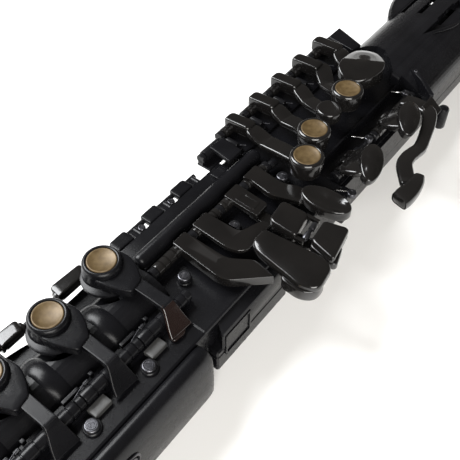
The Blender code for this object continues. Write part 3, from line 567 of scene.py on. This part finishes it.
def left_key(name, k, band, widths, disc, flat=False):
    """Lever, curved band and cup of one left hand key; a flat one has a plain touch."""
    shells = Shells()
    left_bar(shells, k)
    shells.strap(band, widths, 3.0, (0, 0, 1), 0.8, 6)
    cx, cy = disc
    if flat:
        shells.lathe([(4.6, 9.4), (6.4, 9.8), (6.7, 10.6), (6.7, 15.2), (6.4, 15.9), (5.8, 16.25),
                      (4.9, 16.2), (3, 15.9), (0.8, 15.8)], (cx, cy, 0), (0, 0, 1), 48)
    else:
        cup_ring(shells, cx, cy, LH_DISC_Z - 0.2, 9.4, 8.7, -1.0)
        pearl(name.replace("_key", "_pearl"), cx, cy, LH_DISC_Z, name)
    emit(name.replace("_key", "_lever"), shells, "gloss", name, (name,))


def left_stack():
    """The B, bis, A, G and front F keys."""
    y = BAR_Y
    left_key("b_key", 1, [(-28.4, y[1] + 3.2, 10.6), (-26.2, y[1] + 2.6, 10.4),
                          (-22.6, y[1] - 1.2, 9.6), (-18.0, y[1] - 5.6, 8.8),
                          (-17.2, y[1] - 6.3, 8.8), (-9.0, 105.8, 12.0), (-4.0, 103, 13.2)],
             [4.6, 8.6, 9.4, 9.0, 9.0, 8.4, 8.0], LH_PEARLS["b"])
    left_key("bis_key", 2, [(-28.4, y[2] + 0.8, 10.6), (-26, y[2] + 0.4, 10.4),
                            (-18.4, y[2] - 2.8, 8.8), (-17.4, y[2] - 3.2, 8.8),
                            (-9.6, y[2] - 6.0, 10.6), (-3.0, 87.4, 12.8), (0.6, 86.8, 13.2)],
             [4.6, 8.6, 8.8, 8.8, 9.2, 10.4, 9.6], (-1.8, 87.2), True)
    left_key("a_key", 3, [(-28.4, y[3] + 0.8, 10.6), (-26.0, y[3] + 0.4, 10.4),
                          (-19.0, y[3] - 1.4, 8.8), (-18.0, y[3] - 1.6, 8.8),
                          (-8.6, y[3] - 3.6, 10.8), (-1.0, 66.8, 12.8)],
             [4.6, 8.6, 9.2, 9.2, 9.2, 8.6], LH_PEARLS["a"])
    left_key("g_key", 4, [(-28.4, y[4] + 0.8, 10.6), (-26.0, y[4] + 0.4, 10.4),
                          (-17.4, y[4] - 0.6, 8.8), (-16.4, y[4] - 0.8, 8.8),
                          (-4.0, y[4] - 2.2, 10.8), (6.0, 48.4, 12.8)],
             [4.6, 8.6, 9.2, 9.2, 9.2, 8.6], LH_PEARLS["g"])
    front_f_key(y[0])


def front_f_key(y):
    """The front F key, with its tall rounded touch."""
    shells = Shells()
    left_bar(shells, 0)
    shells.strap([(-28.6, y + 0.4, 10.8), (-26, y - 0.8, 10.6), (-21.0, y - 3.8, 9.4),
                  (-14, 131, 11.0)], [4.6, 9.2, 10.2, 9.0], 3.0, (0, 0, 1), 0.8, 6)
    lens = [(-16.4, 117.0), (-17.6, 126), (-19.2, 136), (-18.6, 143.6), (-14.2, 147.6),
            (-7.6, 147.6), (-1.6, 142.8), (3.4, 136.4), (5.6, 130.6), (3.8, 122.6), (-1.4, 115.6),
            (-8.6, 112.8)]

    def crest(px, py):
        """Height of the touch: highest along its long middle line."""
        off = (px + 7.7) * -0.486 + (py - 129.6) * 0.874
        return -0.36 * max(0.0, off) ** 0.98 if off > 0 else -3.4 * (off / 15.0) ** 2

    shells.slab(rounded(lens, 5.0, 6), 9.0, 19.0, 0.9, crest)
    emit("front_f_lever", shells, "gloss", "front_f_key", ("front_f_key",))


def left_fittings():
    """Posts, blocks, stops, springs and screws of the left hand rod and the side E rod."""
    x, z = LH_ROD
    posts = Shells()
    posts.lathe([(1.35, 42.8), (1.35, 152.6)], (x, 0, z), (0, 1, 0), 20)
    knuckles(posts, LH_ROD, LH_POSTS, 0.5)
    posts.block(-44.2, -25, 43.4, 152.2, 0.3, 1.4, 0.4)
    for y in LH_POSTS:
        posts.block(-39.5, -27.0, y - 3.2, y + 2.4, 1.2, 3.6, 0.6)
        posts.lathe([(1.2, -36.0), (1.9, -36.0), (1.9, -29.5), (1.6, -29.0), (1.0, -29.0)],
                    (0, y - 0.4, 5.2), (1, 0, 0), 20)
    posts.slab(rounded([(-42.2, 151.2), (-23.6, 148.4), (-22.2, 156.0), (-42.0, 163.2)], 0.8, 3),
               4.8, 8.2, 0.7)
    posts.block(-41.5, -38.5, 149, 162, 0.6, 6.0, 0.4)
    x, z = BLADE_ROD
    posts.lathe([(1.4, 24.4), (2.2, 24.4), (2.6, 24.8), (2.6, 26.6), (1.4, 26.8)], (x, 0, z),
                (0, 1, 0), 28)
    posts.block(-39.9, -36.5, 24.4, 26.6, 0.8, 4.9, 0.3)
    posts.block(-40.2, -31.6, 24.2, 46, 0.4, 1.5, 0.3)
    posts.lathe([(1.35, 24.6), (1.35, 44)], (x, 0, z), (0, 1, 0), 16)
    emit("left_hinge_posts", posts, "satin", "root", ("left_hand_hinge",))
    for k, y in enumerate(BAR_Y):
        spring(f"left_spring_{k}", [(-37.5, y - 6.8, 4.2), (-33.0, y - 7.4, 4.2),
                                    (-29.0, y - 6.6, 4.3), (-26.5, y - 5.2, 4.4)], radius=0.3)
        screw(f"left_screw_{k}", -36.2, y - 8.6, 4.2, 1.5)


# ---------------------------------------------------------------- little finger table

def g_sharp_key():
    """The G sharp lever and its dished oval touch."""
    arms = Shells()
    hinge_tube(arms, TABLE_ROD, 23.8, 39.0, 3.0, (25.4, 36.6))
    arm = [(-11.4, 24.6), (-6.8, 25.4), (6.3, 23.2), (13.0, 25.6), (20.5, 28.4), (20.5, 36.6),
           (14.1, 36.9), (7.1, 33.4), (-11.4, 35.2)]
    arms.slab(rounded(arm, [1, 1, 4, 4, 1, 1, 3, 4, 1]), 6.0, 9.2, 0.5)
    arms.slab(ellipse(31.2, 33.2, 13.0, 6.9, 4, 56), 8.4, 14.3, 1.0, crown=-1.5)
    emit("g_sharp_lever", arms, "gloss", "g_sharp_key", ("g_sharp_key",))


def low_b_key():
    """The low B lever, its bent arm and its touch."""
    arms = Shells()
    hinge_tube(arms, TABLE_ROD, 4.8, 20.6, 3.0, (6.6, 18.8))
    arms.slab(rounded([(-11.4, 9.6), (8.9, 8.8), (8.5, 18.4), (-11.4, 19.8)], 1.2), 5.6, 8.6, 0.5)
    arms.slab(rounded([(-5.6, 11.0), (5.6, 10.6), (5.4, 16.6), (-5.6, 17.2)], 1.0), 8.2, 8.9, 0.25,
              crown=-0.6)
    arms.strap([(4, 13, 4.3), (18, 12.6, 4.0), (33, 12.4, 4.0), (40, 13.3, 6.2), (44, 14, 9.4)],
               6.3, 2.1, (0, 0, 1), 0.5)
    touch = [(37.4, 21.6), (39.2, 8.2), (53.4, 4.9), (49.4, 24.9)]
    arms.slab(rounded(touch, [2.0, 2.6, 2.4, 2.6], 6), 8.4, 14.2, 1.1, crown=0.1)
    arms.slab(rounded([(37.6, 12), (39.6, 7.6), (53.0, 4.9), (54.6, 6.4), (51.6, 16), (40, 17)],
                      1.4), 6.2, 10.6, 0.8)
    emit("low_b_lever", arms, "gloss", "low_b_key", ("low_b_key",))


def c_sharp_key():
    """The C sharp lever, its touch and the two lugs that hold the roller."""
    arms = Shells()
    hinge_tube(arms, TABLE_ROD, -15.3, 1.6, 3.0, (-12.6, -1.2))
    arm = [(-11.4, -14.2), (9.8, -15.2), (15.7, -13.2), (18.1, -9.8), (17.8, 5.6), (18.0, 9.0),
           (13.4, 8.0), (11.7, 4.4), (9.0, -4.4), (-11.4, -4.4)]
    arms.slab(rounded(arm, [1, 4, 2, 2, 1, 1, 1, 3, 5, 1]), 6.8, 9.2, 0.5)
    touch = [(15.4, 20.2), (17.2, 6.4), (32.6, 5.8), (30.0, 20.8)]
    arms.slab(rounded(touch, [2.6, 3.0, 2.4, 2.8], 6), 8.4, 14.3, 1.1, crown=0.1)
    arms.block(30.4, 36.6, 6.0, 7.8, 10.2, 12.6, 0.5)
    arms.block(28.4, 35.6, 20.2, 21.8, 10.2, 12.6, 0.5)
    emit("c_sharp_lever", arms, "gloss", "c_sharp_key", ("c_sharp_key",))


def low_b_flat_key():
    """The low B flat lever and its long touch."""
    arms = Shells()
    hinge_tube(arms, TABLE_ROD, -42.4, -18.5, 3.0, (-38.8, -35.2, -30.6))
    arm = [(-11.4, -28.0), (-6.9, -28.4), (16.8, -30.4), (22.3, -28.4), (36.2, -15.2),
           (24.4, -12.6), (14.1, -19.7), (-11.4, -19.6)]
    arms.slab(rounded(arm, [1, 4, 4, 2, 0.6, 3, 4, 1]), 3.8, 9.3, 0.4)
    outline = rounded([(18.4, 1.2), (18.0, -7.4), (22.6, -10.8), (48.6, -14.8), (56.6, -11.4),
                       (55.0, 1.4), (50.0, 4.2)], [2, 4, 5, 5, 4, 5, 3], 6)
    arms.slab(outline, 8.2, 13.9, 1.6, lambda px, py: -0.035 * max(0.0, -2 - py) ** 1.5, crown=0.2)
    skirt = rounded([(38.0, -4), (38.6, -15.0), (49.6, -16.0), (56.0, -11.8), (55.4, -3.4)],
                    [2, 3, 6, 6, 3], 6)
    arms.slab(skirt, 3.6, 10.2, 0.8)
    emit("low_b_flat_lever", arms, "gloss", "low_b_flat_key", ("low_b_flat_key",))


def table_roller():
    """The waisted roller between the C sharp and low B touches."""
    roller = Shells()
    roller.lathe([(0.5, -5.8), (1.1, -5.6), (1.5, -4.8), (1.5, -1.6), (1.0, -1.2), (1.0, 1.0),
                  (1.5, 1.4), (1.5, 4.8), (1.1, 5.6), (0.5, 5.8)], (35.1, 14, 11.4),
                 (-0.0859, 0.9963, 0), 24)
    emit("roller", roller, "steel", "table_roller", ("table_roller",))


def table_fittings():
    """Posts and screws of the table rod, and the long half-round bar."""
    x, z = TABLE_ROD
    posts = Shells()
    posts.lathe([(1.35, -45.4), (1.35, 42.2)], (x, 0, z), (0, 1, 0), 20)
    knuckles(posts, TABLE_ROD, TABLE_POSTS, 0.5)
    posts.block(-13, -5.6, -45, 42, 0.3, 1.4, 0.4)
    posts.lathe([(1.2, 42.4), (2.0, 42.6), (2.2, 43.2), (2.2, 47.2), (1.9, 47.8), (0.8, 48.0)],
                (x + 1.2, 0, 4.2), (0, 1, 0), 24)
    emit("table_hinge_posts", posts, "satin", "root", ("table_hinge",))
    bar = Shells()
    bar.lathe([(1.2, -44.3), (2.6, -44.0), (3.6, -43.0), (3.9, -41.6), (3.9, 44.2), (3.6, 45.6),
               (2.6, 46.6), (1.2, 46.9)], (-19, 0, 3.4), (0, 1, 0), 40)
    bar.block(-31, -23.4, -43, 31, 0.2, 2.0, 0.4)
    bar.block(-28.6, -23.2, 20.4, 28.4, 1.6, 3.6, 0.5)
    bar.block(-15.3, -14.3, -43.4, 44.6, 0.2, 2.9, 0.25)
    emit("round_bar", bar, "satin", "root", ("long_bar",))
    for k, (sx, sy, sz) in enumerate(((2.0, -35.9, 3.0), (2.2, 0.8, 3.7), (1.3, 41.3, 3.7))):
        boss = Shells()
        boss.lathe([(3.0, -5.0), (3.6, -4.8), (3.6, -1.6), (3.2, -1.2), (2.6, -1.2)],
                   (sx, sy, sz - 0.4), (0, 0, 1), 32)
        emit(f"screw_boss_{k}", boss, "satin")
        screw(f"table_screw_{k}", sx, sy, sz, 3.0)


# ---------------------------------------------------------------- palm and side keys

def palm_touch(shells, cx, cy, z):
    """A teardrop touch, crowned and tipped outwards."""
    outline = []
    c, s = math.cos(PALM_TURN), math.sin(PALM_TURN)
    for x, y in circle(1.0, 56):
        px, py = 6.0 * (1 + 0.14 * y) * x, 12.2 * y
        outline.append((px * c - py * s, px * s + py * c))
    turn = Matrix.Translation((cx, cy, z)) @ Matrix.Rotation(PALM_TILT, 4, "Y")
    shells.slab(outline, -2.9, 1.8, 1.2, None, turn, 1.6)


def palm_keys():
    """The D and E flat palm keys, and the high F key with its long curved lever."""
    for name, y, cx, cy, wide in (("palm_d_key", 71.2, 35.6, 67.2, 21),
                                  ("palm_e_flat_key", 108.8, 34.3, 107.8, 18)):
        shells = Shells()
        hinge_tube(shells, PALM_ROD, y - 8.6, y + 8.6, 3.0, (y - 6, y + 6))
        shells.strap([(18.8, y, 4.4), (21.6, y, 6.2), (24.6, y - 1, 7.6)], [11, 12, 12.6], 2.6,
                     (0, 0, 1), 0.8, 4)
        arm = [(22.4, cy + 0.4, 7.2), (25.4, cy + 0.4, 8.8), (29.4, cy + 0.2, 10.6),
               (33.4, cy, 12.0), (36.0, cy, 12.4)]
        shells.strap(arm, [wide - 4, wide, wide + 1, wide, wide - 3], [2.6, 2.8, 3.4, 3.8, 3.2],
                     (0, 0, 1), 1.1, 5)
        palm_touch(shells, cx, cy, 13.2)
        emit(name.replace("_key", "_lever"), shells, "gloss", name, (name,))
    shells = Shells()
    hinge_tube(shells, PALM_ROD, 121.4, 137.4, 3.0, (124, 134))
    path = [(21, 129.4, 4.6), (29, 128.8, 6.6), (37.6, 126, 7.6), (41.8, 118.6, 7.4),
            (45.0, 108, 6.9), (47.3, 98, 7.6), (47.2, 91, 9.4), (46.9, 85, 10.4), (48.0, 79, 11.0),
            (51.7, 73.4, 11.2), (56.4, 67.2, 11.2)]
    shells.strap(path, [10, 9, 8, 7.4, 6.8, 7.0, 7.2, 7.6, 8.0, 8.0, 7.6], [3.8] * 11, (0, 0, 1),
                 1.3, 5)
    foot = [(57.8, 76.2, 11.2), (58.8, 71, 11.4), (59.0, 65, 11.1), (58.4, 59.5, 10.6),
            (57.6, 55.6, 10.0)]
    shells.strap(foot, [5.4, 7.4, 8.8, 9.4, 8.8], [4.4, 5.6, 6.8, 7.4, 6.8], (0, 0, 1), 2.2, 5)
    turn = Matrix.Translation((37.2, 130.6, 7.0)) @ Matrix.Rotation(math.radians(38), 4, "Y")
    shells.slab(rounded_rect(-4.8, 4.8, -6.4, 4.8, 0.9), -1.1, 1.3, 0.5, None, turn)
    emit("palm_f_lever", shells, "gloss", "palm_f_key", ("palm_f_key",))


def palm_fittings():
    """Posts, brackets, screws and springs of the palm rod and the guard above it."""
    x, z = PALM_ROD
    posts = Shells()
    posts.lathe([(1.35, 59.2), (1.35, 140.8)], (x, 0, z), (0, 1, 0), 20)
    knuckles(posts, PALM_ROD, PALM_POSTS, -3.2)
    posts.block(17, 25, 59.6, 140.4, -3.2, -2.2, 0.3)
    posts.slab(rounded([(11.8, 154.4), (13.6, 152.8), (20.8, 148.8), (31.8, 139.4), (33.6, 141.0),
                        (22.2, 151.6), (14.0, 156.2)], 0.6, 3), -1.0, 7.8, 0.5)
    posts.lathe([(1.4, -10), (2.6, -9.8), (3.1, -9.0), (3.1, 2.6), (2.6, 3.4), (1.2, 3.6)],
                (41.2, 139.8, 0), (0, 0, 1), 28)
    posts.block(27.6, 41.4, 138.2, 141.0, -1.0, 2.2, 0.8)
    posts.block(27.4, 33.6, 48.6, 57.6, -8.0, 1.2, 1.0)
    posts.block(30.4, 36.6, 44.0, 50.6, -11.0, -2.2, 1.2)
    emit("palm_hinge_posts", posts, "satin", "root", ("palm_hinge",))
    spots = ((18.6, 137.2, 4.0, 2.2), (21.0, 92.4, 3.6, 2.2), (34.6, 53.4, 3.0, 2.4),
             (15.4, 153.6, 7.4, 1.2))
    for k, (sx, sy, sz, r) in enumerate(spots):
        screw(f"palm_screw_{k}", sx, sy, sz, r)
    for k, (y, reach) in enumerate(((137.2, 5.0), (92.4, 6.0), (54.6, 5.4))):
        x, z = spots[k][0], spots[k][2]
        path = [(x - 1.5, y - 0.6, z), (x - 4, y - 2.6, z + 0.4), (x - 4 - reach * 0.6, y - 4.6,
                                                                   z + 0.6)]
        spring(f"palm_needle_{k}", path, "chrome", 0.34)


def side_fittings():
    """Posts, stops, base strip and screws of the side key rod."""
    x, z = SIDE_ROD
    posts = Shells()
    posts.lathe([(1.35, -114.6), (1.35, 17.8)], (x, 0, z), (0, 1, 0), 20)
    posts.lathe([(1.2, -114.2), (2.5, -114.2), (2.7, -113.8), (2.7, -111.3), (1.2, -111.0)],
                (x, 0, z), (0, 1, 0), 28)
    posts.block(x, -25.6, -113.8, -111.4, z - 2.1, z + 2.1, 0.3)
    for y in (-37.8, -16.5, 4.8):
        posts.slab(rounded([(-38.2, y - 5.2), (-31.2, y - 5.2), (-31.2, y + 5.2), (-38.2, y + 5.2)],
                           [1.6, 0.4, 0.4, 1.6]), -0.6, 2.6, 0.7)
        posts.block(-38.6, -31.2, y - 1.8, y + 1.8, -3.4, 0.4, 0.5)
        posts.block(-36.0, -31.2, y + 6.2, y + 8.0, -2.4, 1.0, 0.3)
        posts.lathe([(1.2, -35.6), (1.7, -35.4), (1.7, -31.0)], (0, y + 9.4, 0.6), (1, 0, 0), 16)
    posts.slab(rounded([(-35.4, -112), (-24.8, -113.6), (-24.8, -56), (-34.6, -60), (-34.6, -92),
                        (-31.4, -96), (-31.4, -104)], [1.5, 0.5, 0.5, 3, 2, 2, 2]), -9.4, -5.8, 0.7)
    emit("side_hinge_posts", posts, "satin", "root", ("side_hinge",))
    for k, y in enumerate((-48.4, -25.2, -3.9)):
        screw(f"side_screw_{k}", -33.6, y, 0.4, 1.9)


def side_keys():
    """The side B flat, C and high E keys."""
    x, z = SIDE_ROD
    for name, low, high in (("side_b_flat_key", -110, -96), ("side_c_key", -78, -58)):
        shells = Shells()
        hinge_tube(shells, SIDE_ROD, low + 0.2, high - 0.2, 2.9, (low + 2, high - 2))
        outline = rounded([(x - 5.0, low + 1.2), (x + 2.4, low + 0.4), (x + 2.6, high - 2.4),
                           (x - 4.0, high - 0.4)], [2.4, 1, 1, 2.4], 6)
        shells.slab(outline, z - 0.6, z + 3.2, 1.1)
        emit(name.replace("_key", "_lever"), shells, "gloss", name, (name,))
    shells = Shells()
    hinge_tube(shells, BLADE_ROD, 27.3, 40.9, 3.0, (39.0,))
    shells.slab(rounded([(-37.6, 31.4), (-23.2, 29.4), (-23.2, 39.6), (-36.6, 41.0)], 0.5, 3), 6.7,
                9.2, 0.5)
    emit("side_e_lever", shells, "satin", "side_e_key", ("side_e_key",))


def pinky_keys():
    """The E flat and low C keys of the right little finger."""
    x = RH_ROD[0]
    for name, y in (("e_flat_key", -156), ("low_c_key", -180.6)):
        shells = Shells()
        hinge_tube(shells, RH_ROD, y - 7.4, y + 9.0, 3.0, (y - 5, y + 6.6))
        shells.slab(rounded([(-26, y - 4), (x + 2.8, y - 3.4), (x + 2.8, y + 3.4), (-26, y + 4)],
                            0.8, 3), 8.6, 11.8, 0.6)
        shells.block(x - 1.6, x + 1.6, y - 3, y + 3, 6.0, 10.2, 0.4)
        shells.slab(ellipse(-30.4, y, 9.4, 9.6, 0, 56, 0.7), 8.0, 13.4, 1.2, crown=-0.7)
        emit(name.replace("_key", "_lever"), shells, "gloss", name, (name,))


# ---------------------------------------------------------------- case

def side_cover():
    """The long rounded battery cover along the right side."""
    shape = [(27.35, -39.0), (27.3, -1.2), (27.9, -0.3), (29.0, 0.3), (30.6, 0.5), (32.2, 0.1),
             (33.7, -1.2), (34.9, -3.4), (35.7, -6.8), (36.0, -12), (36.0, -24), (35.6, -33),
             (34.4, -37.2), (32.0, -39.4), (29.0, -39.9)]
    shells = Shells()
    rings = []
    ends = ((-224.0, 0.86), (-223.4, 0.94), (-222, 0.985), (-219, 1.0), (-190, 1.0), (-150, 1.0),
            (-110, 1.0), (-80, 1.0), (-62.6, 1.0), (-59.4, 0.985), (-57.2, 0.93), (-56.2, 0.84))
    for y, grow in ends:
        rings.append([(27.3 + (px - 27.3) * grow, y,
                       -39.9 + (pz + 39.9) * (0.5 + 0.5 * grow)) for px, pz in shape])
    shells.loft(rings)
    emit("battery_cover", shells, "satin", "root", ("side_cover",), 30)
    socket = Shells()
    spot = (31.4, -109.7, -13.0)
    socket.lathe([(2.0, -2), (5.4, -2), (5.4, 4.4), (5.6, 4.9), (5.3, 5.3), (4.7, 5.3), (4.5, 4.6),
                  (3.6, 4.6), (3.4, 5.2), (2.6, 5.2), (2.3, 4.8), (2.2, 0)], spot, (1, 0, 0), 40)
    emit("socket_ring", socket, "steel", "root", ("jack_socket",))


def case_details():
    """Ledge and blank panel by the table keys, strips of the key well, barrel collars."""
    ledge = Shells()
    shape = [(22.0, -15.4), (31.6, -15.4), (32.3, -14.8), (32.3, -4.2), (31.7, -3.4), (23.4, -1.5),
             (22.0, -1.5)]
    rings = []
    ends = ((-39.4, 0.68, 0.5), (-38.9, 0.68, 0.0), (4.0, 0.0, 0.0), (5.0, 0.0, 0.6))
    for y, slant, drop in ends:
        rings.append([(px - drop, y - (px - 22) * slant, pz - drop) for px, pz in shape])
    ledge.loft(rings)
    emit("case_ledge", ledge, "satin")
    panel = Shells()
    turn = Matrix.Translation((32.2, 0, 0)) @ Matrix.Rotation(math.radians(90), 4, "Y")
    for low_z, high_z, low_y, high_y in ((-20.4, -19.6, -45, -27), (-6.4, -5.6, -45, -27),
                                         (-20.4, -5.6, -45, -44.2), (-20.4, -5.6, -27.8, -27)):
        panel.slab(rounded_rect(-high_z, -low_z, low_y, high_y, 0.3), -0.4, 0.7, 0.2, None, turn)
    panel.slab(rounded_rect(6.2, 19.8, -44.4, -27.6, 0.4), -0.6, 0.15, 0.1, None, turn)
    emit("blank_panel", panel, "satin", "root", ("label_plate",))
    lip = Shells()
    lip.slab(rounded([(9.3, 58), (10.3, 58), (10.3, 146.4), (9.3, 147.6)], 0.3, 2), 0.4, 1.9, 0.2)
    lip.strap([(0.7, 186.4, 7.6), (5.4, 193.6, 7.7), (9.5, 203.2, 6.9), (11.8, 212, 6.1),
               (12.1, 220, 5.9)], [0.8, 2.2, 2.6, 2.4, 1.0], [1.0, 2.2, 2.4, 2.0, 1.0], (0, 0, 1),
              0.7, 5)
    emit("edge_lips", lip, "satin")
    for k, (low, high) in enumerate(((-147, -136.4), (-112.6, -103.8), (-80.2, -71.0))):
        collar = Shells()
        collar.lathe([(14.6, low), (15.3, low), (16.2, low + 1.6), (16.5, low + 3.4),
                      (16.5, high - 3.4), (16.2, high - 1.6), (15.3, high), (14.6, high)],
                     (-10, 0, -9.5), (0, 1, 0), 72)
        emit(f"barrel_collar_{k}", collar, "satin")


def dress_frame():
    """Materials of the CAD nodes that stay."""
    looks = {"case_front": "satin", "case_back": "satin", "battery_door": "satin",
             "neck_receiver": "satin", "neck": "satin", "thumb_hook": "satin",
             "thumb_rest": "rubber", "octave_key": "gloss", "octave_hinge": "steel",
             "neck_screw": "steel", "ligature": "steel", "ligature_screw": "steel",
             "strap_ring": "steel", "speaker": "steel", "bell": "brass", "neck_cork": "cork",
             "mouthpiece": "ebonite", "reed": "reed", "circuit_board": "board",
             "battery_holder": "rubber", "power_button": "rubber", "volume_up_button": "rubber",
             "volume_down_button": "rubber"}
    for name, look in looks.items():
        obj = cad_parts[name]
        obj.data.materials.clear()
        obj.data.materials.append(LOOKS[look])


camera()
lights()
floor()
dress_frame()
for letter, (px, py) in RH_PEARLS.items():
    right_key(letter, px, py)
right_fittings()
left_stack()
left_fittings()
g_sharp_key()
low_b_key()
c_sharp_key()
low_b_flat_key()
table_roller()
table_fittings()
palm_keys()
palm_fittings()
side_fittings()
side_keys()
pinky_keys()
side_cover()
case_details()
bpy.context.scene.view_settings.view_transform = "Standard"
